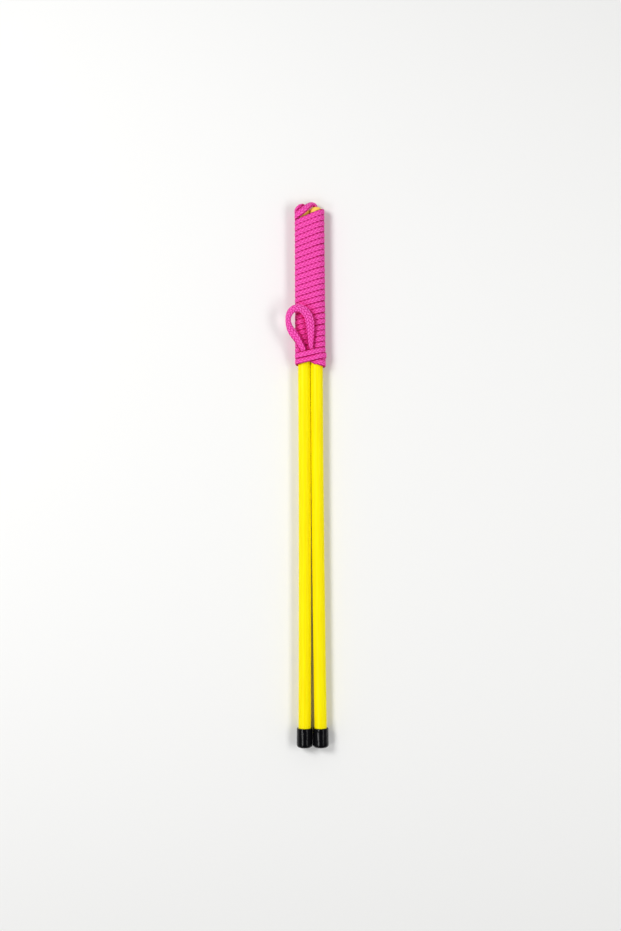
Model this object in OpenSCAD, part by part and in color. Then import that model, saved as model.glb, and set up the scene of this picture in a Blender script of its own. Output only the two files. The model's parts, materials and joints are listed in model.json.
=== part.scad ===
// Giant bubble wand: two wooden sticks side by side with vinyl end caps, and one cotton rope.
// The rope's ends are glued into the sticks' tips. Doubled, it is wound round both sticks,
// tucked under its own last turns, and its middle stands out as a loop to pull.
// The wand lies on its back: +X across, +Y towards the tips, +Z up.

/* [Sticks] */
// Length of a stick without its cap
stick_l = 497.5; // [440:0.5:600]
// Diameter of a stick
stick_d = 11.5; // [10:0.1:14]
// Rounding of the bare tip
tip_round = 4; // [2:0.1:4.5]
// Bevel at the end inside the cap
foot_bevel = 0.8; // [0.2:0.1:2]
// Diameter of the blind hole that takes the rope's end
rope_hole_d = 5.4; // [5.2:0.1:6.5]
// Depth of that hole
rope_hole_l = 16; // [16:0.5:40]
// Gap between the two sticks at their tips
stick_gap = 0.1; // [0.05:0.05:0.4]

/* [End caps] */
// Length of a cap over all
cap_l = 18; // [12:0.5:40]
// Wall of a cap at its rim
cap_wall = 1.4; // [0.8:0.1:2.5]
// How much a cap widens from its rim to its closed end, on the radius
cap_flare = 0.15; // [0:0.05:0.5]
// Thickness of the closed end
cap_floor = 2.5; // [1.5:0.1:5]
// Rounding of the closed end
cap_round = 2.6; // [1:0.1:3]
// Rounding of the rim
rim_round = 0.5; // [0.2:0.1:0.7]
// Clearance round the stick in its cap
cap_fit = 0.05; // [0:0.01:0.2]
// Gap between the two caps
cap_gap = 0.1; // [0.05:0.05:1]

/* [Rope] */
// Double turns of the winding
turns = 13; // [6:1:13]
// Distance from one strand of the winding to the next, along the sticks
strand_pitch = 5.12; // [5:0.02:6.5]
// Width of the rope where it is wound flat
wound_w = 4.3; // [3:0.1:4.3]
// Thickness of the rope where it is wound flat
wound_t = 2; // [1.4:0.1:2]
// Thickness of the rope where it is pressed under the last turns
tucked_t = 1.2; // [0.8:0.1:1.4]
// Width of the rope in the free loop
loop_w = 7.2; // [4:0.1:7.4]
// Thickness of the rope in the free loop
loop_t = 4.4; // [2:0.1:4.5]
// Clearance between the winding and the sticks
rope_clear = 0.3; // [0.2:0.05:0.6]
// Distance from the tips to the first strand at the left side
first_strand = 5; // [5:0.1:6]

/* [Hidden] */
$fn = 96;

stick_r = stick_d / 2;
cap_rim_r = stick_r + cap_fit + cap_wall;
cap_r = cap_rim_r + cap_flare;
wand_l = stick_l + cap_floor;
cut = stick_d / 10; // overrun of the cuts

// The sticks touch at their tips and the caps hold their other ends apart
tip_x = stick_r + stick_gap / 2;
rim_x = cap_r + cap_gap / 2;
splay = asin((rim_x - tip_x) / (wand_l - cap_l - tip_round));
function axis_x(y) = tip_x - (y + tip_round) * tan(splay);

// Way round both sticks, in steps: 0 left side, 4 to 8 back, 12 right side, 16 to 20 front
steps = 24;
arc_step = 22.5;
lead = 2 * strand_pitch;

// Shares of a double turn's lead that fall on the front, at the tips and at the other end
front_shares = [1.02, 0.59];

// Height of the last front strands over the strands tucked below them, as [step, height]
left_last_lift = [[13, 0], [16, 1.6], [17, 2.9], [20, 2.9], [22, 1.8], [24, 0]];
right_last_lift = [[8, 0], [11, 1.3], [14, 1.6], [19, 1.6], [21, 0.8], [23, 0]];

// Each strand's way from its last full turn to the front, as [step, distance from the tips]
left_tail_y = [[0, -138.1], [8, -141], [10, -141], [13, -139.8], [16, -138.8]];
right_tail_y = [[0, -143.2], [4, -144.6], [8, -146], [12, -145.8], [16, -144.2]];
// Step at which each tail begins and ends to be pressed thin
left_press = [8, 10];
right_press = [13, 16];
// Where the left strand's last full turn ends, as these tails were drawn
drawn_end = -138.1;

// Routes of the free stretches, measured from the midpoint between the tips.
// A row is a place and the way that the rope's flat side faces there.
left_lead_in = [
    [[-5.8, -15.5, 0], [5, 0, -9]], [[-5.8, -10, 0], [5, 0, -9]], [[-5.8, -2, 0], [5, 0, -9]],
    [[-5.9, 0.1, 0.5], [4, 5, -7]], [[-6.8, 1.3, 2.2], [0, 9, 0]],
    [[-8.5, 0.5, 4], [-3, 8, 4]], [[-10.5, -1.3, 4.3], [-6, 5, 5]],
    [[-12.1, -3.2, 2.9], [-9, 2, 4]], [[-12.8, -4.5, 1.2], [-9, 1, 2]]
];
right_lead_in = [
    [[5.8, -15.5, 0], [6, 0, 7]], [[5.8, -10, 0], [6, 0, 7]], [[5.8, -2, 0], [6, 0, 7]],
    [[5.4, 0.4, 0.2], [6, 4, 6]], [[4.1, 2, 0.7], [3, 7, 6]], [[2.2, 2.2, 1.6], [0, 7, 6]],
    [[-0.1, 1, 3.4], [-1, 6, 7]], [[-2.3, -0.8, 5.3], [-1, 4, 8]],
    [[-4.5, -2.8, 6.9], [0, 2, 9]], [[-6.8, -4.8, 7.4], [-1, 1, 9]],
    [[-9.2, -6.5, 6.7], [-4, 0, 8]], [[-11.3, -8, 4.9], [-7, 0, 7]],
    [[-12.5, -9.2, 2.6], [-9, 0, 4]]
];
left_tail = [
    [[4.3, -137.6, 6.7], [0, 0, 9]], [[2.9, -135.9, 6.8], [0, -1, 9]],
    [[1.9, -133.9, 7.4], [0, -3, 9]], [[1.2, -132.1, 8.8], [0, -5, 8]],
    [[0.8, -130.6, 9.8], [0, -3, 9]], [[0.4, -128.6, 10.2], [0, -1, 9]],
    [[0.3, -123.8, 10.4], [0, 0, 9]]
];
right_tail = [
    [[4.2, -143.4, 6.7], [0, 0, 9]], [[1.8, -142, 6.7], [0, 0, 9]],
    [[-0.6, -140, 6.7], [0, 0, 9]], [[-2.8, -137.6, 6.9], [0, -1, 9]],
    [[-4.6, -135.4, 7.4], [1, -3, 9]], [[-5.8, -133.6, 8.7], [2, -5, 8]],
    [[-6.6, -132.2, 9.8], [1, -3, 9]], [[-7.6, -130.4, 10.2], [0, -1, 9]],
    [[-10, -126, 10.4], [0, 0, 9]]
];
loop_route = [
    [[0.3, -123.8, 10.4], [0, 0, 9]], [[0.2, -119, 10.6], [0, 0, 9]],
    [[0.2, -113.5, 11.2], [0, 0, 9]], [[-0.2, -108, 12], [0, 0, 9]],
    [[-1.5, -102.6, 12.8], [1, 1, 9]], [[-4.7, -97.8, 13.3], [1, 2, 9]],
    [[-9.2, -94.8, 13.4], [0, 4, 8]], [[-13.6, -94.8, 12.9], [-2, 5, 7]],
    [[-17.4, -97.2, 12], [-5, 4, 6]], [[-19.7, -101.4, 11.3], [-8, 1, 4]],
    [[-20.2, -106, 10.8], [-9, 0, 3]], [[-19.2, -111, 10.5], [-8, 0, 5]],
    [[-17.2, -115.2, 10.4], [-6, 0, 7]], [[-14.9, -118.4, 10.5], [-2, 0, 9]],
    [[-12.4, -121.6, 10.6], [0, 0, 9]], [[-10, -126, 10.4], [0, 0, 9]]
];
// How far the rope has swelled from its wound section to its free one, along the loop
swell_shares = [0, 0.25, 0.6, 0.9, 1, 1, 1, 1, 1, 1, 1, 1, 0.9, 0.6, 0.25, 0];

// A station is a place, the way the flat side faces, and the rope's width and thickness
function unit(v) = v / norm(v);
function mix(a, b, share) = a + (b - a) * share;
function station(row, w, t) = [row[0], unit(row[1]), w, t];
function wrap_radius(t, lift) = stick_r + rope_clear + t / 2 + lift;
function wrap_turn(s) =
    s < 4 ? 180 + arc_step * s : s < 8 ? 270 : s < 16 ? 270 + arc_step * (s - 8)
    : s < 20 ? 90 : 90 + arc_step * (s - 20);
function wrap_side(s) =
    s < 4 ? -1 : s < 8 ? (s - 6) / 2 : s < 16 ? 1 : s < 20 ? (18 - s) / 2 : -1;
function wrap_x(s, y, t, lift) =
    wrap_side(s) * axis_x(y) + wrap_radius(t, lift) * cos(wrap_turn(s));
function wrap_station(s, y, t = wound_t, lift = 0) = [
    [wrap_x(s, y, t, lift), y, wrap_radius(t, lift) * sin(wrap_turn(s))],
    [cos(wrap_turn(s)), 0, sin(wrap_turn(s))], wound_w, t
];

// How far a strand has fallen when it is s steps round a turn: straight lines, seen from the front
function fall(s, y, front) =
    let (reach = axis_x(y) + wrap_radius(wound_t, 0),
        across = wrap_x(s, y, wound_t, 0) / reach)
    s < 12 ? (lead - front) * (1 + across) / 2 : lead - front * (1 + across) / 2;

function winding(start, last_lift) = [
    for (turn = [0:turns - 1], s = [0:steps - 1])
        let (y0 = start - turn * lead,
            front = lead * mix(front_shares[0], front_shares[1], turn / (turns - 1)))
        wrap_station(s, y0 - fall(s, y0, front), lift = turn < turns - 1 ? 0 : lookup(s, last_lift))
];

// A tail goes with the winding's end, which moves with the number and the pitch of the turns
tail_shift = -first_strand - turns * lead - drawn_end;
function moved(rows) = [for (row = rows) [row[0] + [0, tail_shift, 0], row[1]]];
function tail(tail_y, press) = [
    for (s = [0:16])
        let (share = max(0, min(1, (s - press[0]) / (press[1] - press[0]))))
        wrap_station(s, lookup(s, tail_y) + tail_shift, mix(wound_t, tucked_t, share))
];
function rising(rows) =
    let (last = len(rows) - 1, pressed = 3)
    [for (i = [0:last]) station(rows[i], wound_w, mix(tucked_t, wound_t, max(0, (i - pressed) / (last - pressed))))];
function lead_in(rows) = [for (row = rows) station(row, wound_w, wound_t)];

left_strand = concat(
    lead_in(left_lead_in), winding(-first_strand, left_last_lift),
    tail(left_tail_y, left_press), rising(moved(left_tail))
);
right_strand = concat(
    lead_in(right_lead_in), winding(-first_strand - strand_pitch, right_last_lift),
    tail(right_tail_y, right_press), rising(moved(right_tail))
);
free_loop =
    let (rows = moved(loop_route), free = swell_shares)
    [for (i = [0:len(rows) - 1]) station(rows[i], mix(wound_w, loop_w, free[i]), mix(wound_t, loop_t, free[i]))];

// The rope's section is an oval with a flat front and back
strand_sides = 6;
loop_sides = 8;
function section(w, t, sides) =
    let (half = 180 / sides, first = sides % 4 == 0 ? half : 0)
    [
        for (k = [0:sides - 1])
            let (a = first + 2 * half * k)
            [w / 2 * cos(a) / cos(first), t / 2 * sin(a) / cos(half)]
    ];
function ring(route, i, sides) =
    let (last = len(route) - 1, here = route[i],
        along = unit(route[min(i + 1, last)][0] - route[max(i - 1, 0)][0]),
        across = unit(cross(along, here[1])), up = cross(across, along))
    [for (p = section(here[2], here[3], sides)) here[0] + p[0] * across + p[1] * up];
function rings(route, sides) = [for (i = [0:len(route) - 1]) ring(route, i, sides)];

// Least distance between corners of rings that are from one third of a turn to two and a half turns apart
function least_gap(r) =
    let (far = 2.5 * steps, near = steps / 3)
    min([
        for (i = [0:len(r) - 1 - near], j = [i + near:min(i + far, len(r) - 1)])
            if (norm(r[i][0] - r[j][0]) < lead) min([for (p = r[i], q = r[j]) norm(p - q)])
    ]);

// The wand lies on its caps and on the winding, which is thicker: this tilts it a little
winding_r = wrap_radius(wound_t, wound_t / 2);
last_back_y = right_tail_y[2][1] + tail_shift - wound_w / 4;
rest_y = winding_r > cap_r ? last_back_y : -first_strand;
tilt = atan((winding_r - cap_r) / (wand_l - cap_round + rest_y));
rest_h = cap_r * cos(tilt) + (wand_l - cap_round) * sin(tilt);
module lay_down() {
    translate([0, wand_l / 2, rest_h]) rotate([tilt, 0, 0]) children();
}

// A stick and its cap stand on end here, with the tip at the top and the cap's closed end at zero
module right_side() {
    translate([tip_x, -tip_round, 0]) rotate([0, 0, splay]) translate([0, tip_round - wand_l, 0])
        rotate([-90, 0, 0]) children();
}

function arc(centre, r, from, to) = [
    for (i = [0:arc_parts]) let (a = mix(from, to, i / arc_parts)) centre + r * [cos(a), sin(a)]
];
arc_parts = 8;

module stick() {
    color([1, 0.93, 0]) difference() {
        rotate_extrude() polygon(concat(
            [[0, cap_floor], [stick_r - foot_bevel, cap_floor], [stick_r, cap_floor + foot_bevel]],
            arc([stick_r - tip_round, wand_l - tip_round], tip_round, 0, 90),
            [[0, wand_l]]
        ));
        translate([0, 0, wand_l - rope_hole_l]) cylinder(rope_hole_l + cut, d = rope_hole_d);
    }
}

module end_cap() {
    bore_r = stick_r + cap_fit;
    color([0.07, 0.07, 0.08]) rotate_extrude() polygon(concat(
        [[0, 0]], arc([cap_r - cap_round, cap_round], cap_round, -90, 0),
        arc([cap_rim_r - rim_round, cap_l - rim_round], rim_round, 0, 90),
        [[bore_r, cap_l], [bore_r, cap_floor], [0, cap_floor]]
    ));
}

module rope(route, sides) {
    r = rings(route, sides);
    last = len(r) - 1;
    skin = [
        for (i = [0:last - 1], k = [0:sides - 1])
            let (a = i * sides + k, b = i * sides + (k + 1) % sides, c = a + sides, d = b + sides)
            each [[a, b, d], [a, d, c]]
    ];
    ends = [for (k = [1:sides - 2]) each [[0, k + 1, k], [for (n = [0, k, k + 1]) last * sides + n]]];
    color([0.97, 0.29, 0.67]) polyhedron([for (points = r) each points], concat(skin, ends));
}

module left_stick() { lay_down() mirror([1, 0, 0]) right_side() stick(); }
module right_stick() { lay_down() right_side() stick(); }
module left_end_cap() { lay_down() mirror([1, 0, 0]) right_side() end_cap(); }
module right_end_cap() { lay_down() right_side() end_cap(); }
module rope_left_strand() { lay_down() rope(left_strand, strand_sides); }
module rope_right_strand() { lay_down() rope(right_strand, strand_sides); }
module rope_loop() { lay_down() rope(free_loop, loop_sides); }

union() {
    echo(left_strand_gap = least_gap(rings(left_strand, strand_sides)));
    echo(right_strand_gap = least_gap(rings(right_strand, strand_sides)));
}
left_stick();
right_stick();
left_end_cap();
right_end_cap();
rope_left_strand();
rope_right_strand();
rope_loop();
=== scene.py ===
# %% [markdown]
# A giant bubble wand is two wooden sticks and one soft rope. In use the rope hangs between the
# tips and is dipped in soap. Put away, it is doubled, wound round both sticks and tucked under its
# own last turns, and its middle stands out as a loop to pull. The caps come ready from the packed
# model. This lesson makes the rope as a real braid, bows the sticks a little, and gives each part
# its finish.

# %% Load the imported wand
import json
from math import asin, cos, pi, radians, sin, tan

import bmesh
import bpy
import numpy as np
from mathutils import Matrix, Vector


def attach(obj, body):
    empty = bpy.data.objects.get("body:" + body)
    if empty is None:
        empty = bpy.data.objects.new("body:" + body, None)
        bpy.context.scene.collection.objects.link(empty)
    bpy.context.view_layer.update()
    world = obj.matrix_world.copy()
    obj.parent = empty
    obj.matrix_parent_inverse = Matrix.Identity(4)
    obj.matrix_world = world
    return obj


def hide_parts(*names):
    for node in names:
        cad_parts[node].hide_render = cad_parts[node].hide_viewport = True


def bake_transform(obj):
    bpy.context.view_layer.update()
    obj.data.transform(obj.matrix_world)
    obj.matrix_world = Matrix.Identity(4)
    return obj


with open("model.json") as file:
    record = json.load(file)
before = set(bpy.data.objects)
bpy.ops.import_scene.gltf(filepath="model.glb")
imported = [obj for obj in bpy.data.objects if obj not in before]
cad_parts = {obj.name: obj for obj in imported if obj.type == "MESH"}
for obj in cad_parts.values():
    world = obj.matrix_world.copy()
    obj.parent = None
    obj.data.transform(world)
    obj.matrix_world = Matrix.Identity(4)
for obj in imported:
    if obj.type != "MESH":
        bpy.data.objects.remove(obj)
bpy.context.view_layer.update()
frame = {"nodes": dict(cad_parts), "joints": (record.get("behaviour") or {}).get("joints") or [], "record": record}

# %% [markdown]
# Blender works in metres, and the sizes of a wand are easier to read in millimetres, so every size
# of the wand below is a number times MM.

MM = 0.001

# %% [markdown]
# The camera looks straight down on the wand, a little nearer to the tips than its middle. A wide
# lens close by would show the sides of the winding and make the ends lean, so the camera stays two
# and a half times the wand's length away. The wand hangs a third of a degree out of plumb, so the
# camera is turned by that much, and the model stays straight.

# %% Camera
CAMERA_HEIGHT = 1.265
CAMERA_LENS = 52.5
CAMERA_PLACE = (-0.5 * MM, 11 * MM)
CAMERA_TURN = radians(-0.35)

lens = bpy.data.cameras.new("camera")
lens.lens = CAMERA_LENS
camera = bpy.data.objects.new("camera", lens)
camera.location = (*CAMERA_PLACE, CAMERA_HEIGHT)
camera.rotation_euler = (0, 0, CAMERA_TURN)
bpy.context.scene.collection.objects.link(camera)
bpy.context.scene.camera = camera
bpy.context.scene.view_settings.view_transform = "Standard"
print("camera at", tuple(round(value, 3) for value in camera.location))

# %% [markdown]
# Node trees are mostly sums. Two small helpers keep them short: one adds a node and feeds its
# inputs in order, and one lets a socket be used in plain Python sums, each of which adds a Math
# node. Both work in a material and in geometry nodes alike.

# %% Node helpers
def feed(tree, socket, value):
    """Joins a socket to another one, or sets its value."""
    if isinstance(value, Number):
        value = value.socket
    if isinstance(value, bpy.types.NodeSocket):
        tree.links.new(value, socket)
    elif value is not None:
        socket.default_value = value


def add(tree, kind, *inputs, **settings):
    """Adds one node with its settings, and feeds its inputs in order."""
    node = tree.nodes.new(kind)
    for name, value in settings.items():
        setattr(node, name, value)
    for socket, value in zip(node.inputs, inputs):
        feed(tree, socket, value)
    return node


class Number:
    """A number in a node tree. A sum on it adds a Math node."""

    def __init__(self, tree, socket):
        self.tree = tree
        self.socket = socket

    def maths(self, operation, *others):
        node = add(self.tree, "ShaderNodeMath", self, *others, operation=operation)
        return Number(self.tree, node.outputs[0])

    def __add__(self, other):
        return self.maths("ADD", other)

    def __sub__(self, other):
        return self.maths("SUBTRACT", other)

    def __mul__(self, other):
        return self.maths("MULTIPLY", other)

    def __truediv__(self, other):
        return self.maths("DIVIDE", other)

    def __neg__(self):
        return self * -1.0

    def clamped(self):
        """The number, kept between 0 and 1."""
        return self.maths("MAXIMUM", 0.0).maths("MINIMUM", 1.0)


def vector_maths(tree, operation, *inputs):
    """Adds a Vector Math node and returns its vector."""
    return add(tree, "ShaderNodeVectorMath", *inputs, operation=operation).outputs["Vector"]


print("node helpers:", *(helper.__name__ for helper in (feed, add, Number, vector_maths)))

# %% [markdown]
# The wand lies on its back on a pale floor. It rests on its caps and on the last turns of the
# winding, which is thicker, so the sticks tilt by a tenth of a degree. The hinge in the packed
# record stands square on them, between their tips, so its place and axis give the wand's own
# frame: X across, Y towards the tips, and Z towards the viewer. The record's grips give the line
# and the radius of each stick.

# %% The wand's own frame
hinge = frame["joints"][0]
mounts = {mount["name"]: mount for mount in frame["record"]["mounts"]}
grip = mounts["right_grip"]
STICK_R = grip["dims"]["r_mm"] * MM
SPLAY = asin(grip["axis"][0] / np.linalg.norm(grip["axis"]))
TILT = -asin(hinge["axis"][1])
TIP_ROUND = 4 * MM

lay_down = (
    Matrix.Translation(hinge["pos_m"]) @ Matrix.Rotation(TILT, 4, "X")
    @ Matrix.Translation((0, TIP_ROUND, 0))
)
grip_place = lay_down.inverted() @ Vector(grip["pos_m"])


def axis_x(y):
    """Distance from the middle of the wand to a stick's axis, where y is measured from the tips."""
    return grip_place.x - (y - grip_place.y) * tan(SPLAY)


print("stick radius", STICK_R / MM, "mm, axis at the tips", round(axis_x(-TIP_ROUND) / MM, 2), "mm out")

# %% [markdown]
# The rope's route is a list of stations. A station is a place, the way that the rope's flat side
# faces, its width and its thickness. A curve with a bevel would be quicker, but it keeps one round
# section, and this rope is flat where it is wound tight and full where it is free. Where the rope
# is free its places are listed, the same ones as in the imported model. They start inside
# the hole in a tip, where the rope's end is glued, and climb over the tip's edge.

# %% The rope's sizes and its way out of the tips
TURNS = 13
STRAND_PITCH = 5.12 * MM
FIRST_STRAND = 5 * MM
LEAD = 2 * STRAND_PITCH
WOUND_OUTSIDE_R = STICK_R + 2.3 * MM
WOUND_W = 5.75 * MM
WOUND_T = 2.2 * MM
TUCKED_T = 1.1 * MM
LEFT_SOFT_W = 5.6 * MM
RIGHT_SOFT_W = 6.5 * MM
SOFT_T = 3.2 * MM
HOLE_W = 4.3 * MM
LOOP_W = 8 * MM
LOOP_T = 4.5 * MM

LEFT_LEAD_IN = [
    [[-5.8, -15.5, 0], [5, 0, -9]], [[-5.8, -10, 0], [5, 0, -9]], [[-5.8, -2, 0], [5, 0, -9]],
    [[-5.9, 0.1, 0.5], [4, 5, -7]], [[-6.8, 1.3, 2.2], [0, 9, 0]], [[-8.5, 0.5, 4], [-3, 8, 4]],
    [[-10.5, -1.3, 4.3], [-6, 5, 5]], [[-12.1, -3.2, 2.9], [-9, 2, 4]],
    [[-12.8, -4.5, 1.2], [-9, 1, 2]],
]
RIGHT_LEAD_IN = [
    [[5.8, -15.5, 0], [6, 0, 7]], [[5.8, -10, 0], [6, 0, 7]], [[5.8, -2, 0], [6, 0, 7]],
    [[5.4, 0.4, 0.2], [6, 4, 6]], [[4.1, 2, 0.7], [3, 7, 6]], [[2.2, 2.2, 1.6], [0, 7, 6]],
    [[-0.1, 1, 3.4], [-1, 6, 7]], [[-2.3, -0.8, 5.3], [-1, 4, 8]], [[-4.5, -2.8, 6.9], [0, 2, 9]],
    [[-6.8, -4.8, 7.4], [-1, 1, 9]], [[-9.2, -6.5, 6.7], [-4, 0, 8]],
    [[-11.3, -8, 4.9], [-7, 0, 7]], [[-12.5, -9.2, 2.6], [-9, 0, 4]],
]


def station(place, facing, width, thickness):
    """One station of the route, as a row of eight numbers."""
    return [*place, *Vector(facing).normalized(), width, thickness]


def lead_in(rows, free_w):
    """The stations from the glued end to the winding. The rope swells out of its hole, then flattens."""
    last = len(rows)
    widths = np.interp(range(last), [2, 5, last - 3, last], [HOLE_W, free_w, free_w, WOUND_W])
    depths = np.interp(range(last), [last - 4, last], [SOFT_T, WOUND_T])
    return [
        station(Vector(place) * MM, facing, width, depth)
        for (place, facing), width, depth in zip(rows, widths, depths)
    ]


print("stations from hole to winding:", len(LEFT_LEAD_IN), "left,", len(RIGHT_LEAD_IN), "right")

# %% [markdown]
# Round both sticks the rope follows a rule: straight across the back, half a circle round the
# right stick, straight across the front, half a circle round the left one. Each double turn moves
# down by the width of two strands. The first turns do all of that on the front and slope
# steeply, and later ones share it between front and back. A hand never winds evenly, so two
# waves, one slow and one quick, move each turn by a part of a millimetre. On the front, the last
# turn of each strand is lifted over the strands that are tucked below it.

# %% The winding
STEPS = 24
CORNERS = [0, 4, 8, 16, 20, STEPS]
CORNER_TURNS = [180, 270, 270, 450, 450, 540]
CORNER_SIDES = [-1, -1, 1, 1, -1, -1]
FRONT_SHARES = [1.02, 0.59]
SWAY = 0.16 * MM
SWAY_RATE = 1.1
STRAND_SWAY = 0.06 * MM
STRAND_SWAY_RATE = 5.1
LEFT_WAVE = 0.4
RIGHT_WAVE = 2.6
LEFT_LAST_LIFT = [[13, 0], [16, 1.3], [17, 2.4], [20, 2.4], [22, 1.2], [24, 0]]
RIGHT_LAST_LIFT = [[8, 0], [11, 0.7], [16, 1.1], [19, 1.2], [22, 0.4], [24, 0]]


def at_step(s, rows):
    """The length at step s, from rows of a step and its millimetres."""
    return float(np.interp(s, *zip(*rows))) * MM


def wrap_turn(s):
    """The angle that the rope faces at step s. Steps 4 to 8 are behind, 16 to 20 in front."""
    return radians(np.interp(s, CORNERS, CORNER_TURNS))


def wrap_side(s):
    """The stick that the rope goes round at step s: -1 is the left one and 1 the right one."""
    return float(np.interp(s, CORNERS, CORNER_SIDES))


def wrap_x(s, y, radius):
    return wrap_side(s) * axis_x(y) + radius * cos(wrap_turn(s))


def wrap_station(s, y, width=WOUND_W, thickness=WOUND_T, lift=0.0):
    """A station on the way round both sticks, pressed against whatever the lift leaves room for."""
    radius = WOUND_OUTSIDE_R - thickness / 2 + lift
    facing = (cos(wrap_turn(s)), 0, sin(wrap_turn(s)))
    return station((wrap_x(s, y, radius), y, radius * facing[2]), facing, width, thickness)


def fall(s, y, front):
    """How far a strand has moved down after s steps of its turn."""
    radius = WOUND_OUTSIDE_R - WOUND_T / 2
    across = (1 + wrap_x(s, y, radius) / (axis_x(y) + radius)) / 2
    return (LEAD - front) * across if s < STEPS / 2 else LEAD - front * across


def winding(start, last_lift, wave):
    """All double turns of one strand. The last one is lifted over the strands tucked below it."""
    found = []
    for turn in range(TURNS):
        y0 = -start - turn * LEAD
        front = LEAD * float(np.interp(turn, [0, TURNS - 1], FRONT_SHARES))
        for s in range(STEPS):
            lift = at_step(s, last_lift) if turn == TURNS - 1 else 0.0
            done = turn + s / STEPS
            steady = min(done, TURNS - done, 1)
            sway = SWAY * sin(done * SWAY_RATE) + STRAND_SWAY * sin(done * STRAND_SWAY_RATE + wave)
            found.append(wrap_station(s, y0 - fall(s, y0, front) + sway * steady, lift=lift))
    return found


print("wound stations:", TURNS * STEPS, "for each strand")

# %% [markdown]
# The two strands end in a tuck. The left strand slips under the last strand at the right side and
# the right one under the last two at the front. Both come up through the winding and are the two
# legs of the free loop, where the rope is no longer stretched and swells to its full size. A soft
# rope is pressed thin where it is tucked, so each station there has its own width and thickness.

# %% The tuck and the free loop
LEFT_TAIL_Y = [[0, -138.1], [8, -141], [10, -141], [13, -139.8], [16, -138.8]]
RIGHT_TAIL_Y = [[0, -143.2], [4, -144.6], [8, -145.4], [12, -144.9], [16, -143.4]]
LEFT_PRESS = [8, 10]
RIGHT_PRESS = [14, 17]
SHOWN_TAIL_W = 6.9 * MM
TAIL_STEPS = 16
TUCKED_W = 4.6 * MM
LEFT_RISE = [
    [[4.3, -137.6, 6.7], [0, 0, 9]], [[2.9, -135.9, 6.8], [0, -1, 9]],
    [[1.9, -133.9, 7.4], [0, -3, 9]], [[1.2, -132.1, 8.8], [0, -5, 8]],
    [[0.8, -130.6, 9.8], [0, -3, 9]], [[0.4, -128.6, 10.2], [0, -1, 9]],
    [[0.3, -123.8, 10.4], [0, 0, 9]],
]
RIGHT_RISE = [
    [[4.2, -143.4, 6.7], [0, 0, 9]], [[1.8, -142, 6.7], [0, 0, 9]],
    [[-0.6, -140, 6.7], [0, 0, 9]], [[-2.8, -137.6, 6.9], [0, -1, 9]],
    [[-4.6, -135.4, 7.4], [1, -3, 9]], [[-5.8, -133.6, 8.7], [2, -5, 8]],
    [[-6.6, -132.2, 9.8], [1, -3, 9]], [[-7.6, -130.4, 10.2], [0, -1, 9]],
    [[-10, -126, 10.4], [0, 0, 9]],
]
LOOP_ROUTE = [
    [[0.3, -123.8, 10.4], [0, 0, 9]], [[0.2, -119, 10.6], [0, 0, 9]],
    [[0.2, -113.5, 11.2], [0, 0, 9]], [[-0.2, -108, 12], [0, 0, 9]],
    [[-1.5, -102.6, 12.8], [1, 1, 9]], [[-4.7, -97.8, 13.3], [1, 2, 9]],
    [[-9.2, -94.8, 13.4], [0, 4, 8]], [[-13.6, -94.8, 12.9], [-2, 5, 7]],
    [[-17.4, -97.2, 12], [-5, 4, 6]], [[-19.7, -101.4, 11.3], [-8, 1, 4]],
    [[-20.2, -106, 10.8], [-9, 0, 3]], [[-19.2, -111, 10.5], [-8, 0, 5]],
    [[-17.2, -115.2, 10.4], [-6, 0, 7]], [[-14.9, -118.4, 10.5], [-2, 0, 9]],
    [[-12.4, -121.6, 10.6], [0, 0, 9]], [[-10, -126, 10.4], [0, 0, 9]],
]
WIDTH_SHARES = [0.42, 0.78, 0.95, 1, 1, 1, 1, 1, 1, 1, 1, 1, 1, 1, 0.9, 0.6]
SWELL_SHARES = [0, 0.25, 0.6, 0.9, 1, 1, 1, 1, 1, 1, 1, 1, 0.9, 0.6, 0.25, 0]


def tail(rows, press, shown_w):
    """The last way from the left side round the right stick, which ends pressed thin."""
    found = []
    for s in range(TAIL_STEPS + 1):
        pressed = float(np.interp(s, press, [0, 1]))
        width = float(np.interp(s, [0, *press], [WOUND_W, shown_w, TUCKED_W]))
        thickness = WOUND_T + (TUCKED_T - WOUND_T) * pressed
        found.append(wrap_station(s, at_step(s, rows), width, thickness))
    return found


def rise(rows, shown_w):
    """From under the last strands up to the free loop."""
    shares = np.interp(range(len(rows)), [3, len(rows) - 1], [0, 1])
    return [
        station(Vector(place) * MM, facing, TUCKED_W + (shown_w - TUCKED_W) * share,
                TUCKED_T + (WOUND_T - TUCKED_T) * share)
        for (place, facing), share in zip(rows, shares)
    ]


left_tail = tail(LEFT_TAIL_Y, LEFT_PRESS, WOUND_W)
right_tail = tail(RIGHT_TAIL_Y, RIGHT_PRESS, SHOWN_TAIL_W)
left_turns = winding(FIRST_STRAND, LEFT_LAST_LIFT, LEFT_WAVE)
right_turns = winding(FIRST_STRAND + STRAND_PITCH, RIGHT_LAST_LIFT, RIGHT_WAVE)
left_strand = lead_in(LEFT_LEAD_IN, LEFT_SOFT_W) + left_turns + left_tail
right_strand = lead_in(RIGHT_LEAD_IN, RIGHT_SOFT_W) + right_turns + right_tail
swelling = [
    station(Vector(place) * MM, facing, WOUND_W + (LOOP_W - WOUND_W) * wide,
            WOUND_T + (LOOP_T - WOUND_T) * swell)
    for (place, facing), wide, swell in zip(LOOP_ROUTE, WIDTH_SHARES, SWELL_SHARES)
]
free_loop = (
    left_tail[-2:] + rise(LEFT_RISE, WOUND_W)[:-1] + swelling
    + rise(RIGHT_RISE, SHOWN_TAIL_W)[-2::-1] + right_tail[:-3:-1]
)
print("stations:", len(left_strand), "left,", len(right_strand), "right,", len(free_loop), "in the loop")

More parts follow.
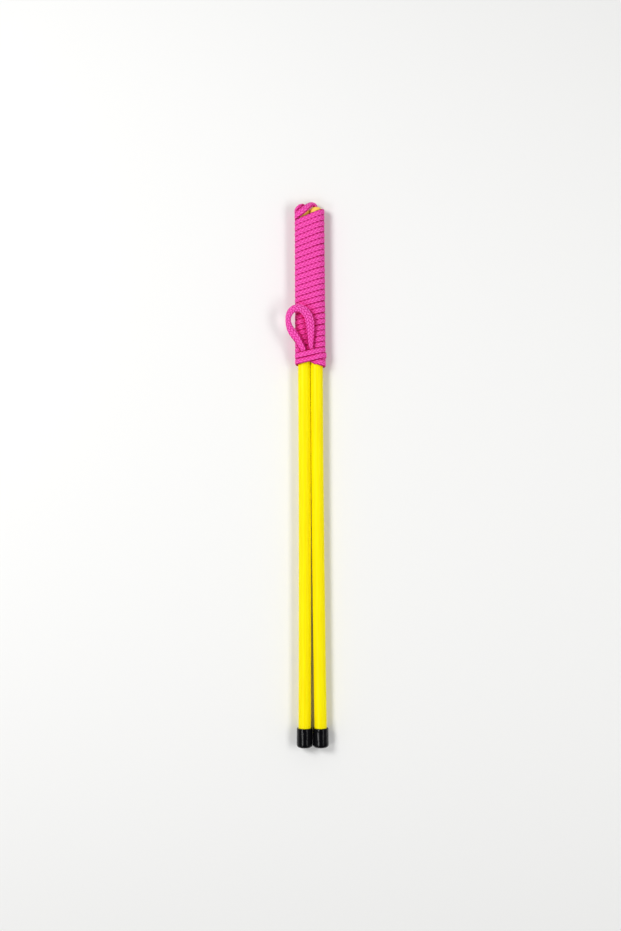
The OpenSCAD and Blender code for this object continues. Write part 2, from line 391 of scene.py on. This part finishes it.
# %% [markdown]
# Between stations the rope bends smoothly. A Hermite curve goes through every station, with each
# slope taken from the two neighbours. It is first worked out in very fine steps, which are then
# made even, and close enough for the yarns of the braid to show. The braid stretches with the
# rope: where the rope is wound tight, one round of the braid is longer than in the free loop.

# %% From stations to a smooth line
FREE_LAY = 26 * MM
WOUND_LAY = 29 * MM
FINER = 8


def smooth_line(stations, spacing):
    """Evenly spaced rows along a smooth curve through the stations."""
    rows = np.array(stations)
    run = np.concatenate([[0], np.cumsum(np.linalg.norm(np.diff(rows[:, :3], axis=0), axis=1))])
    slope = np.gradient(rows, run, axis=0)
    fine = np.linspace(0, run[-1], int(run[-1] / (spacing / FINER)))
    k = np.clip(np.searchsorted(run, fine, "right") - 1, 0, len(run) - 2)
    step = (run[k + 1] - run[k])[:, None]
    t = ((fine - run[k])[:, None]) / step
    line = (
        rows[k] * (1 + 2 * t) * (1 - t) ** 2 + slope[k] * step * t * (1 - t) ** 2
        + rows[k + 1] * t * t * (3 - 2 * t) - slope[k + 1] * step * t * t * (1 - t)
    )
    length = np.concatenate([[0], np.cumsum(np.linalg.norm(np.diff(line[:, :3], axis=0), axis=1))])
    even = np.linspace(0, length[-1], int(round(length[-1] / spacing)) + 1)
    return np.array([np.interp(even, length, column) for column in line.T]).T


def rounds_of_braid(line, spacing):
    """How often the yarns have gone round the rope, along the line."""
    loose = np.interp(line[:, 6], [WOUND_W, LOOP_W], [0, 1])
    return np.cumsum(spacing / (WOUND_LAY + (FREE_LAY - WOUND_LAY) * loose))


def length_of(line):
    return float(np.linalg.norm(np.diff(line[:, :3], axis=0), axis=1).sum())


STRAND_SPACING = 0.5 * MM
LOOP_SPACING = 0.35 * MM
lines = {
    "rope_left": smooth_line(left_strand, STRAND_SPACING),
    "rope_right": smooth_line(right_strand, STRAND_SPACING),
    "rope_free_loop": smooth_line(free_loop, LOOP_SPACING),
}
for name, line in lines.items():
    print(name, "is", round(length_of(line), 4), "m long and has", len(line), "rings")

# %% [markdown]
# The rope is a braid of sixteen yarns. Eight go round it one way and eight the other way, and each
# passes over two and under two. Two numbers say where a point lies among them: A counts the yarns
# of one set and B those of the other. One formula then gives how high the braid stands at any
# point. It is written once, and used both to shape the mesh and, in its finish, for the bump and
# the braid's painted shade and highlight.

# %% How high the braid stands
YARNS = 8
ROUNDNESS = 0.55


def braid_height(around, along):
    """From 0 in the gaps to 1 on top of a yarn, with around and along in rounds of the braid."""
    a = (around + along) * float(YARNS)
    b = (around - along) * float(YARNS)
    heights = []
    for mine, other, sign in ((a, b, 1.0), (b, a, -1.0)):
        number = mine.maths("FLOOR")
        from_middle = (mine - number) * 2.0 - 1.0
        crown = (-(from_middle * from_middle) + 1.0).maths("SQRT")
        wave = ((other + number) * (pi / 2)).maths("SINE") * sign
        heights.append(crown * ROUNDNESS + wave * (1 - ROUNDNESS))
    highest = heights[0].maths("MAXIMUM", heights[1])
    return highest.maths("MAXIMUM", 0.0)


print("yarns:", 2 * YARNS)

# %% [markdown]
# The mesh of a rope is a sheet of points rolled up along its line. In geometry nodes a Grid makes
# the sheet, with one row for each ring. A point's index, divided by the points in a row, tells its
# ring, and ROUND_OFF makes up for a division that falls just short of a whole number. Sample Index
# looks up the ring's place, its flat side and its size, and Set Position puts each point on an
# oval round it, sunk where the braid is low. So the yarns have real height, which a painted braid
# has not, and show along the rope's outline. On a flat oval even angles leave wide gaps on its
# faces, so the points are moved from its edges towards them. The rolled sheet's edges meet, and
# Merge by Distance closes them. At both ends the rings shrink to a point, so the rope is closed
# there too.

# %% The tree that rolls a rope
ROPE_INPUTS = [
    ("Line", "NodeSocketGeometry"), ("Sides", "NodeSocketInt"), ("Relief", "NodeSocketFloat"),
    ("Flatness", "NodeSocketFloat"), ("Finish", "NodeSocketMaterial"),
]
ROUND_OFF = 0.0001
TO_FACES = 0.15
SEAM_JOIN = 0.002 * MM


def scaled(tree, vector, factor):
    node = add(tree, "ShaderNodeVectorMath", vector, operation="SCALE")
    feed(tree, node.inputs["Scale"], factor)
    return node.outputs["Vector"]


def kept(tree, name, kind="FLOAT"):
    """What each point keeps under a name."""
    return add(tree, "GeometryNodeInputNamedAttribute", name, data_type=kind).outputs[0]


def at_ring(tree, line, value, ring, kind="FLOAT"):
    """What a value is at one ring of the line."""
    found = add(tree, "GeometryNodeSampleIndex", line, value, ring,
                data_type=kind, domain="POINT", clamp=True)
    return Number(tree, found.outputs[0])


def store(tree, geometry, name, value):
    """Keeps a number on each point under a name."""
    return add(tree, "GeometryNodeStoreNamedAttribute", geometry, None, name, value,
               data_type="FLOAT", domain="POINT").outputs[0]


def store_map(tree, geometry):
    """Makes the UV map from the kept numbers, one pair at each face corner, so the seam stays sharp."""
    pair = add(tree, "ShaderNodeCombineXYZ", kept(tree, "around"), kept(tree, "rounds_here"))
    return add(tree, "GeometryNodeStoreNamedAttribute", geometry, None, "rope_map", pair.outputs[0],
               data_type="FLOAT2", domain="CORNER").outputs[0]


def oval(around, flatness):
    """The shares of the half width and the half thickness at which a point of a ring lies."""
    even = around * (2 * pi)
    angle = even + (even * 2.0).maths("SINE") * TO_FACES
    cosine, sine = angle.maths("COSINE"), angle.maths("SINE")
    return cosine * (sine * sine * flatness + 1.0), sine * (cosine * cosine * flatness + 1.0)


def rope_tree():
    """Rolls a sheet up along a line, and sinks it where the braid is low."""
    tree = bpy.data.node_groups.new("roll_rope", "GeometryNodeTree")
    for name, kind in ROPE_INPUTS:
        tree.interface.new_socket(name, in_out="INPUT", socket_type=kind)
    tree.interface.new_socket("Rope", in_out="OUTPUT", socket_type="NodeSocketGeometry")
    given = {socket.name: socket for socket in tree.nodes.new("NodeGroupInput").outputs}
    line, sides = given["Line"], Number(tree, given["Sides"])

    rings = add(tree, "GeometryNodeAttributeDomainSize", line).outputs["Point Count"]
    columns = sides + 1.0
    sheet = add(tree, "GeometryNodeMeshGrid", None, None, rings, columns).outputs["Mesh"]
    index = Number(tree, tree.nodes.new("GeometryNodeInputIndex").outputs[0])
    ring = (index / columns + ROUND_OFF).maths("FLOOR")
    around = (index - ring * columns) / sides

    spot = tree.nodes.new("GeometryNodeInputPosition").outputs[0]
    centre, ahead, behind = (
        at_ring(tree, line, spot, which, "FLOAT_VECTOR") for which in (ring, ring + 1.0, ring - 1.0)
    )
    facing = at_ring(tree, line, kept(tree, "facing", "FLOAT_VECTOR"), ring, "FLOAT_VECTOR")
    rounds, wound, width, thickness = (
        at_ring(tree, line, kept(tree, name), ring)
        for name in ("rounds", "wound", "width", "thickness")
    )
    along = vector_maths(tree, "NORMALIZE", vector_maths(tree, "SUBTRACT", ahead, behind))
    across = vector_maths(tree, "NORMALIZE", vector_maths(tree, "CROSS_PRODUCT", along, facing))
    outward = vector_maths(tree, "CROSS_PRODUCT", across, along)

    sunk = (-braid_height(around, rounds) + 1.0) * Number(tree, given["Relief"])
    half_w = (width / 2.0 - sunk).maths("MAXIMUM", 0.0)
    half_t = (thickness / 2.0 - sunk).maths("MAXIMUM", 0.0)
    across_share, out_share = oval(around, Number(tree, given["Flatness"]))
    place = vector_maths(
        tree, "ADD", vector_maths(tree, "ADD", centre, scaled(tree, across, across_share * half_w)),
        scaled(tree, outward, out_share * half_t),
    )

    for name, value in (("around", around), ("rounds_here", rounds), ("wound", wound)):
        sheet = store(tree, sheet, name, value)
    rolled = add(tree, "GeometryNodeSetPosition", sheet, None, place).outputs[0]
    rolled = store_map(tree, rolled)
    closed = add(tree, "GeometryNodeMergeByDistance", rolled, None, SEAM_JOIN).outputs[0]
    smooth = add(tree, "GeometryNodeSetShadeSmooth", closed).outputs[0]
    real = add(tree, "GeometryNodeRealizeInstances", smooth).outputs[0]
    finished = add(tree, "GeometryNodeSetMaterial", real, None, given["Finish"]).outputs[0]
    tree.links.new(finished, tree.nodes.new("NodeGroupOutput").inputs[0])
    return tree


roll_rope = rope_tree()
print("nodes in the rope's tree:", len(roll_rope.nodes))

# %% [markdown]
# Every finish starts alike: a material whose shader is given the values that are the same all over
# the surface. What changes over the surface comes from nodes, and the finishes share four kinds: a
# noise, a ramp of colours, a mix of two colours, and a bump, which is fine relief that only the
# light sees. A Mix node has sockets for numbers, vectors and colours side by side, so the ones
# that mix colours are named here.

# %% Finish helpers
MIX_INPUTS = (0, 6, 7)
MIX_OUTPUT = 2
NOISE_MIDDLE = 0.5


def new_finish(name, values):
    """A material, its nodes, and its shader with its own sockets set to the values."""
    finish = bpy.data.materials.new(name)
    finish.use_nodes = True
    shader = finish.node_tree.nodes["Principled BSDF"]
    for socket, value in values.items():
        shader.inputs[socket].default_value = value
    return finish, finish.node_tree, shader


def noise(tree, place, scale, detail=None, dimensions="3D"):
    """A noise, which wavers about NOISE_MIDDLE."""
    node = add(tree, "ShaderNodeTexNoise", noise_dimensions=dimensions)
    for socket, value in (("Vector", place), ("Scale", scale), ("Detail", detail)):
        feed(tree, node.inputs[socket], value)
    return Number(tree, node.outputs[0])


def colour_ramp(tree, value, stops):
    """Turns a number into a colour. Each stop is a number and its colour."""
    node = add(tree, "ShaderNodeValToRGB", value)
    elements = node.color_ramp.elements
    for element, (place, colour) in zip(elements, (stops[0], stops[-1])):
        element.position = place
        element.color = colour
    for place, colour in stops[1:-1]:
        elements.new(place).color = colour
    return node.outputs[0]


def mixed(tree, share, first, second, blend="MIX"):
    """The first colour at a share of 0, and at 1 the second one or, to multiply, their product."""
    node = add(tree, "ShaderNodeMix", data_type="RGBA", blend_type=blend)
    for socket, value in zip(MIX_INPUTS, (share, first, second)):
        feed(tree, node.inputs[socket], value)
    return node.outputs[MIX_OUTPUT]


def bump(tree, shader, height, depth, strength):
    """Adds fine relief that only the light sees."""
    node = add(tree, "ShaderNodeBump")
    for socket, value in (("Strength", strength), ("Distance", depth), ("Height", height)):
        feed(tree, node.inputs[socket], value)
    feed(tree, shader.inputs["Normal"], node.outputs[0])


print("finish helpers:", *(helper.__name__ for helper in (new_finish, noise, colour_ramp, mixed, bump)))

# %% [markdown]
# Soft cotton has hardly any shine, only a pale sheen where the surface turns away. Its colour
# follows the braid: painted shade, deep, in the gaps between yarns, and a painted highlight on top
# of each yarn. Where the rope is wound tight, its two edges, which lie against its neighbours, get
# painted shade too, and the braid on its flat face is pulled smooth, so its painted shade and
# highlight have less contrast. Each yarn is a bundle of fine fibres, so a noise gives it streaks.
# These are read from the rope's own map and bend with the rope. Between the turns and inside the
# loop an Ambient Occlusion node finds the nooks and paints them a deeper pink, which is painted
# shade.

# %% Cotton finish
# the top colour is a painted highlight on the yarns, the deep colour painted shade in their gaps
ROPE_YARN_HIGHLIGHT = (0.93, 0.115, 0.52, 1)
ROPE_MIDDLE = (0.86, 0.055, 0.38, 1)
ROPE_GAP_SHADE = (0.4, 0.002, 0.09, 1)
ROPE_SHADE_STOPS = [(0.3, ROPE_GAP_SHADE), (0.65, ROPE_MIDDLE), (0.9, ROPE_YARN_HIGHLIGHT)]
COTTON = {
    "Roughness": 0.9, "Specular IOR Level": 0.1,
    "Sheen Weight": 0.15, "Sheen Roughness": 0.5, "Sheen Tint": (1, 0.6, 0.8, 1),
}
BRAID_MIDDLE = 0.7
FREE_CONTRAST = 1.4
WOUND_CONTRAST = 0.75
EDGE_FROM = 0.05
EDGE_GAIN = 2.2
EDGE_SHADE = 0.5
FIBRES = 60.0
STREAK_SHADE = 0.3
STREAK_HEIGHT = 0.3
YARN_DEPTH = 0.25 * MM
NOOK_SHADE_TINT = (0.93, 0.03, 0.45, 1)
NOOK_REACH = 9 * MM
NOOK_SAMPLES = 4
NOOK_FROM = 0.92
NOOK_GAIN = 2.2


def cotton():
    finish, tree, shader = new_finish("rope_cotton", COTTON)
    spot = add(tree, "ShaderNodeUVMap", uv_map="rope_map").outputs[0]
    parts = add(tree, "ShaderNodeSeparateXYZ", spot)
    around, along = Number(tree, parts.outputs[0]), Number(tree, parts.outputs[1])
    height = braid_height(around, along)
    fibre = add(tree, "ShaderNodeCombineXYZ", (around + along) * FIBRES, (around - along) * FIBRES)
    streak = noise(tree, fibre.outputs[0], scale=1.0, dimensions="2D")
    wound = Number(tree, add(tree, "ShaderNodeAttribute", attribute_name="wound").outputs["Fac"])
    contrast = wound * (WOUND_CONTRAST - FREE_CONTRAST) + FREE_CONTRAST
    # painted shade in the braid's gaps and painted highlight on its yarns
    braid = (height - BRAID_MIDDLE) * contrast + BRAID_MIDDLE
    # painted shade along both edges of the tightly wound rope, where the turns press together
    edge = (((around * (4 * pi)).maths("COSINE") - EDGE_FROM) * EDGE_GAIN).clamped()
    shade = braid + (streak - NOISE_MIDDLE) * STREAK_SHADE - edge * wound * EDGE_SHADE
    # painted shade: Ambient Occlusion deepens the base colour in nooks between turns and inside the loop
    nook = add(tree, "ShaderNodeAmbientOcclusion", samples=NOOK_SAMPLES)
    feed(tree, nook.inputs["Distance"], NOOK_REACH)
    hidden = ((-Number(tree, nook.outputs["AO"]) + NOOK_FROM) * NOOK_GAIN).clamped()
    colour = mixed(tree, hidden, colour_ramp(tree, shade, ROPE_SHADE_STOPS), NOOK_SHADE_TINT, "MULTIPLY")
    feed(tree, shader.inputs["Base Color"], colour)
    bump(tree, shader, height + streak * STREAK_HEIGHT, YARN_DEPTH, strength=0.8)
    return finish


rope_finish = cotton()
print("cotton finish has", len(rope_finish.node_tree.nodes), "nodes")

# %% [markdown]
# Now each stretch of rope is rolled: the line becomes a small mesh of single points that carries
# the ring's numbers, the tree turns it into the rope, and the result is kept as a plain mesh.

# %% Roll the three stretches
END_RINGS = 5
STRAND_SHAPE = {"Sides": 40, "Relief": 0.3 * MM, "Flatness": 0.15}
LOOP_SHAPE = {"Sides": 60, "Relief": 0.4 * MM, "Flatness": 0.1}


def line_object(name, line, spacing):
    """A mesh of one point per ring, with the ring's numbers on it, laid down with the wand."""
    mesh = bpy.data.meshes.new(name + "_line")
    mesh.from_pydata([lay_down @ Vector(row[:3]) for row in line], [], [])
    turned = lay_down.to_3x3()
    facing = np.array([turned @ Vector(row[3:6]) for row in line])
    ends = np.minimum(np.arange(len(line)), np.arange(len(line))[::-1]) / END_RINGS
    closing = np.sqrt(1 - (1 - np.clip(ends, 0, 1)) ** 2)
    numbers = {
        "facing": ("FLOAT_VECTOR", "vector", facing),
        "width": ("FLOAT", "value", line[:, 6] * closing),
        "thickness": ("FLOAT", "value", line[:, 7] * closing),
        "rounds": ("FLOAT", "value", rounds_of_braid(line, spacing)),
        "wound": ("FLOAT", "value", np.interp(line[:, 7], [WOUND_T, LOOP_T], [1, 0])),
    }
    for label, (kind, slot, values) in numbers.items():
        column = mesh.attributes.new(label, kind, "POINT")
        column.data.foreach_set(slot, np.asarray(values, np.float32).ravel())
    thing = bpy.data.objects.new(name + "_line", mesh)
    bpy.context.scene.collection.objects.link(thing)
    return thing


def roll(name, spacing, shape):
    """One stretch of rope as a plain mesh. Its shape is given by the tree's own inputs."""
    thing = line_object(name, lines[name], spacing)
    modifier = thing.modifiers.new("rope", "NODES")
    modifier.node_group = roll_rope
    values = {**shape, "Finish": rope_finish}
    for item in roll_rope.interface.items_tree:
        if item.name in values:
            modifier[item.identifier] = values[item.name]
    shown = thing.evaluated_get(bpy.context.evaluated_depsgraph_get())
    mesh = bpy.data.meshes.new_from_object(shown)
    bpy.data.objects.remove(thing)
    mesh.name = name
    rope = bpy.data.objects.new(name, mesh)
    bpy.context.scene.collection.objects.link(rope)
    triangles = sum(len(face.vertices) - 2 for face in mesh.polygons)
    print(name, "has", triangles, "triangles")
    return rope


rope_left = roll("rope_left", STRAND_SPACING, STRAND_SHAPE)
rope_right = roll("rope_right", STRAND_SPACING, STRAND_SHAPE)
rope_free_loop = roll("rope_free_loop", LOOP_SPACING, LOOP_SHAPE)

# %% [markdown]
# The sticks are turned from pale wood and dipped in yellow lacquer, which fills the pores and
# leaves a soft gloss. The grain still shows a little as long, faint streaks of deeper yellow. A
# picture of wood would repeat and show a seam, so the streaks are a noise, stretched along the
# stick. Near the tips, where the rope hangs over them, the yellow turns warmer: this is painted
# shade and painted pink bounce light from the rope.

# %% Lacquer finish
TIP = 250 * MM
LACQUER = (0.97, 0.85, 0.0, 1)
LACQUER_DEEP = (0.95, 0.74, 0.0, 1)
LACQUER_STOPS = [(0.3, LACQUER_DEEP), (0.6, LACQUER)]
# the warmer tip colour is painted shade and painted pink bounce light from the rope
TIP_SHADE_AND_BOUNCE = (1.0, 0.66, 0.12, 1)
TIP_SHADE_FROM = TIP - 12 * MM
TIP_SHADE_OVER = 6 * MM
LACQUERED = {
    "Roughness": 0.45, "Specular IOR Level": 0.08, "Coat Weight": 0.03, "Coat Roughness": 0.2,
}
GRAIN_STRETCH = 0.03
GRAIN_DEPTH = 0.05 * MM


def lacquered_wood():
    finish, tree, shader = new_finish("stick_lacquer", LACQUERED)
    spot = add(tree, "ShaderNodeTexCoord").outputs["Object"]
    stretched = add(tree, "ShaderNodeMapping", spot)
    stretched.inputs["Scale"].default_value = (1, GRAIN_STRETCH, 1)
    grain = noise(tree, stretched.outputs[0], scale=900, detail=3)
    along = Number(tree, add(tree, "ShaderNodeSeparateXYZ", spot).outputs[1])
    # painted shade and pink bounce light near the tips, under the rope
    thin = ((along - TIP_SHADE_FROM) / TIP_SHADE_OVER).clamped()
    colour = mixed(tree, thin, colour_ramp(tree, grain, LACQUER_STOPS), TIP_SHADE_AND_BOUNCE)
    feed(tree, shader.inputs["Base Color"], colour)
    bump(tree, shader, grain, GRAIN_DEPTH, strength=0.5)
    return finish


stick_finish = lacquered_wood()
print("lacquer finish has", len(stick_finish.node_tree.nodes), "nodes")

# %% [markdown]
# The caps are soft black vinyl, made by dipping a hot form into liquid plastic. Such a surface is
# satin and a little wavy, so a highlight on it breaks up, and handling rubs it duller here and
# there. Its black is nearly total, and only the highlights tell its shape, so the waves go into
# the bump and the rubbed spots into the roughness, and the colour is left plain.

# %% Vinyl finish
VINYL = {"Base Color": (0.002, 0.002, 0.003, 1), "Specular IOR Level": 0.25}
LEAST_ROUGH = 0.12
RUBBED_BY = 0.2
WAVE_DEPTH = 0.8 * MM


def dipped_vinyl():
    finish, tree, shader = new_finish("cap_vinyl", VINYL)
    spot = add(tree, "ShaderNodeTexCoord").outputs["Object"]
    rubbed = noise(tree, spot, scale=420, detail=4)
    feed(tree, shader.inputs["Roughness"], rubbed * RUBBED_BY + LEAST_ROUGH)
    bump(tree, shader, noise(tree, spot, scale=160), WAVE_DEPTH, strength=0.7)
    return finish


cap_finish = dipped_vinyl()
print("vinyl finish has", len(cap_finish.node_tree.nodes), "nodes")

# %% [markdown]
# The sticks aren't quite straight. The rope presses them together, and the caps, which are
# thicker, force their other ends about three millimetres apart. In between each stick bows, as a
# thin rod does that is held at one place and pushed aside at another. A Simple Deform modifier
# bends along a circle only, and a rod bends less and less towards the end that is pushed. So a
# copy of each packed stick has its loose triangles joined, is cut into short lengths, and its
# points are moved by the rod's own formula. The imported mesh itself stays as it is.

# %% Bow the sticks
HELD_TO = -203 * MM
CAP_RIM = -482 * MM
BOW_CUTS = 40
JOIN = 0.001 * MM
SHARP = radians(30)


def bowed_x(y):
    """Distance from the middle of the wand to a bowed stick's axis, down to the rim of its cap."""
    free = min(max((HELD_TO - y) / (HELD_TO - CAP_RIM), 0), 1)
    aside = free * free * (3 - free) / 2
    return axis_x(0) + (axis_x(CAP_RIM) - axis_x(0)) * aside


def bow(name, side, body):
    """A bowed copy of a packed stick, in its place."""
    form = bmesh.new()
    form.from_mesh(frame["nodes"][name].data)
    bmesh.ops.remove_doubles(form, verts=form.verts, dist=JOIN)
    cuts = np.linspace(CAP_RIM, HELD_TO, BOW_CUTS)
    for y in cuts:
        parts = form.verts[:] + form.edges[:] + form.faces[:]
        bmesh.ops.bisect_plane(form, geom=parts, plane_co=(0, TIP + y, 0), plane_no=(0, 1, 0))
    for point in form.verts:
        y = point.co.y - TIP
        if y > CAP_RIM:
            point.co.x += side * (bowed_x(y) - axis_x(y))
    mesh = bpy.data.meshes.new("bowed_" + name)
    form.to_mesh(mesh)
    form.free()
    mesh.attributes.remove(mesh.attributes["custom_normal"])
    mesh.shade_smooth()
    mesh.set_sharp_from_angle(angle=SHARP)
    mesh.materials.append(stick_finish)
    stick = bpy.data.objects.new("bowed_" + name, mesh)
    bpy.context.scene.collection.objects.link(stick)
    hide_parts(name)
    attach(stick, body)
    most = max(axis_x(y) - bowed_x(y) for y in cuts)
    print(name, "has", len(mesh.polygons), "faces and is moved in by", round(most / MM, 2), "mm")


bow("left_stick", -1, "left_half")
bow("right_stick", 1, "right_half")

# %% [markdown]
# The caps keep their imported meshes, which are true to size. Only the plain material that each came
# with is exchanged for its finish.

# %% Dress the caps
for name in ("left_end_cap", "right_end_cap"):
    node = frame["nodes"][name]
    node.data.materials.clear()
    node.data.materials.append(cap_finish)
    print(name, "is finished in", node.data.materials[0].name)

# %% [markdown]
# The floor is pale and plain, as in a product picture. Far from the wand the camera sees it fade to
# the sky's own level, so that a low view shows no horizon. A fade in the floor's own finish does
# this at any angle, which a curved backdrop behind the wand does for one angle only.

# %% Floor
WHITE = (1, 1, 1, 1)
SKY_SHOWN = 0.85
FLOOR_PAINT = {"Base Color": (0.86, 0.86, 0.85, 1), "Roughness": 0.9, "Specular IOR Level": 0.1}
FLOOR_HALF = 6.0
FLOOR_DROP = 0.1 * MM
FADE_FROM = 0.5
FADE_OVER = 0.7


def floor(half, drop, far_level):
    """A pale floor, which the camera sees at the sky's own level far out."""
    mesh = bpy.data.meshes.new("floor")
    corners = [(-half, -half, -drop), (half, -half, -drop), (half, half, -drop), (-half, half, -drop)]
    mesh.from_pydata(corners, [], [(0, 1, 2, 3)])
    thing = bpy.data.objects.new("floor", mesh)
    bpy.context.scene.collection.objects.link(thing)
    finish, tree, shader = new_finish("floor_paint", FLOOR_PAINT)
    spot = add(tree, "ShaderNodeTexCoord").outputs["Object"]
    distance = Number(tree, add(tree, "ShaderNodeVectorMath", spot, operation="LENGTH").outputs["Value"])
    far = ((distance - FADE_FROM) / FADE_OVER).clamped()
    seen = Number(tree, add(tree, "ShaderNodeLightPath").outputs["Is Camera Ray"])
    glow = add(tree, "ShaderNodeEmission", WHITE, far_level).outputs[0]
    both = add(tree, "ShaderNodeMixShader", far * seen, shader.outputs[0], glow)
    feed(tree, tree.nodes["Material Output"].inputs["Surface"], both.outputs[0])
    mesh.materials.append(finish)


floor(FLOOR_HALF, FLOOR_DROP, SKY_SHOWN)
print("floor:", 2 * FLOOR_HALF, "m wide, faded out", FADE_FROM + FADE_OVER, "m from the wand")

# %% [markdown]
# A white sky lights the wand from all round. It is dark overhead, where the camera hangs, and weak
# in reflections, or the caps would look grey. What the camera sees of it has a level of its own.

# %% Sky
SKY_LIGHT = 0.5
OVERHEAD_FROM = 0.6
OVERHEAD_GAIN = 4.0
OVERHEAD_LOSS = 0.85
MIRROR_LOSS = 0.8


def sky(light_level, shown_level):
    """White light from all round, but dark overhead and weak in reflections."""
    world = bpy.data.worlds.new("sky")
    world.use_nodes = True
    bpy.context.scene.world = world
    tree = world.node_tree
    path = add(tree, "ShaderNodeLightPath")
    seen = Number(tree, path.outputs["Is Camera Ray"])
    mirrored = Number(tree, path.outputs["Is Glossy Ray"])
    way = add(tree, "ShaderNodeSeparateXYZ", add(tree, "ShaderNodeTexCoord").outputs["Generated"])
    overhead = ((Number(tree, way.outputs[2]) - OVERHEAD_FROM) * OVERHEAD_GAIN).clamped()
    light = overhead * (-OVERHEAD_LOSS * light_level) + light_level
    light = light * (mirrored * -MIRROR_LOSS + 1.0)
    level = light + seen * (-light + shown_level)
    feed(tree, tree.nodes["Background"].inputs["Strength"], level)
    tree.nodes["Background"].inputs["Color"].default_value = WHITE


sky(SKY_LIGHT, SKY_SHOWN)
print("sky: gives a level of", SKY_LIGHT, "and is seen at", SKY_SHOWN)

# %% [markdown]
# The lamps are soft squares and strips, all aimed at the wand's middle. A square one at the left is
# the key, and a small one beside it gives each cap its left streak. A long one at the right gives
# the weaker right streak, and a second one in its place fills that side but is hidden from
# reflections, because one lamp strong enough for both would make the streak too bright.

# %% Lamps
RIGHT_PLACE = (0.95, -0.1, 1.2)
RIGHT_SIZE = (1.0, 0.4)


def lamp(name, place, size, power, mirrored=True):
    light = bpy.data.lights.new(name, "AREA")
    light.shape = "RECTANGLE"
    light.size, light.size_y = size
    light.energy = power
    thing = bpy.data.objects.new(name, light)
    thing.location = place
    thing.rotation_euler = (-Vector(place)).to_track_quat("-Z", "Y").to_euler()
    thing.visible_glossy = mirrored
    bpy.context.scene.collection.objects.link(thing)
    print(name, "gives", power, "W")


lamp("key_light", place=(-0.8, 0.45, 1.2), size=(0.5, 0.5), power=12.2)
lamp("left_light", place=(-0.85, -0.5, 1.25), size=(0.35, 0.3), power=3.5)
lamp("right_light", RIGHT_PLACE, RIGHT_SIZE, power=4)
lamp("right_fill", RIGHT_PLACE, RIGHT_SIZE, power=5.5, mirrored=False)

# %% [markdown]
# Each rope piece stands for its plain solid in the imported model, which is hidden.

# %% The rope joins the model
HOLE_X = 5.8 * MM
HOLE_Z = 8.3 * MM
ROPES = [
    (rope_left, "rope_left_strand", (-HOLE_X, TIP, HOLE_Z), WOUND_W, "coiled"),
    (rope_right, "rope_right_strand", (HOLE_X, TIP, HOLE_Z), WOUND_W, "coiled"),
    (rope_free_loop, "rope_loop", tuple(lay_down @ Vector(free_loop[0][:3])), LOOP_W, "loose"),
]
for rope, node, leaves, width, lay in ROPES:
    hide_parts(node)
    -STICK_R
    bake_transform(rope)
    line = lines[rope.name]
    print(rope.name, "replaces", node)
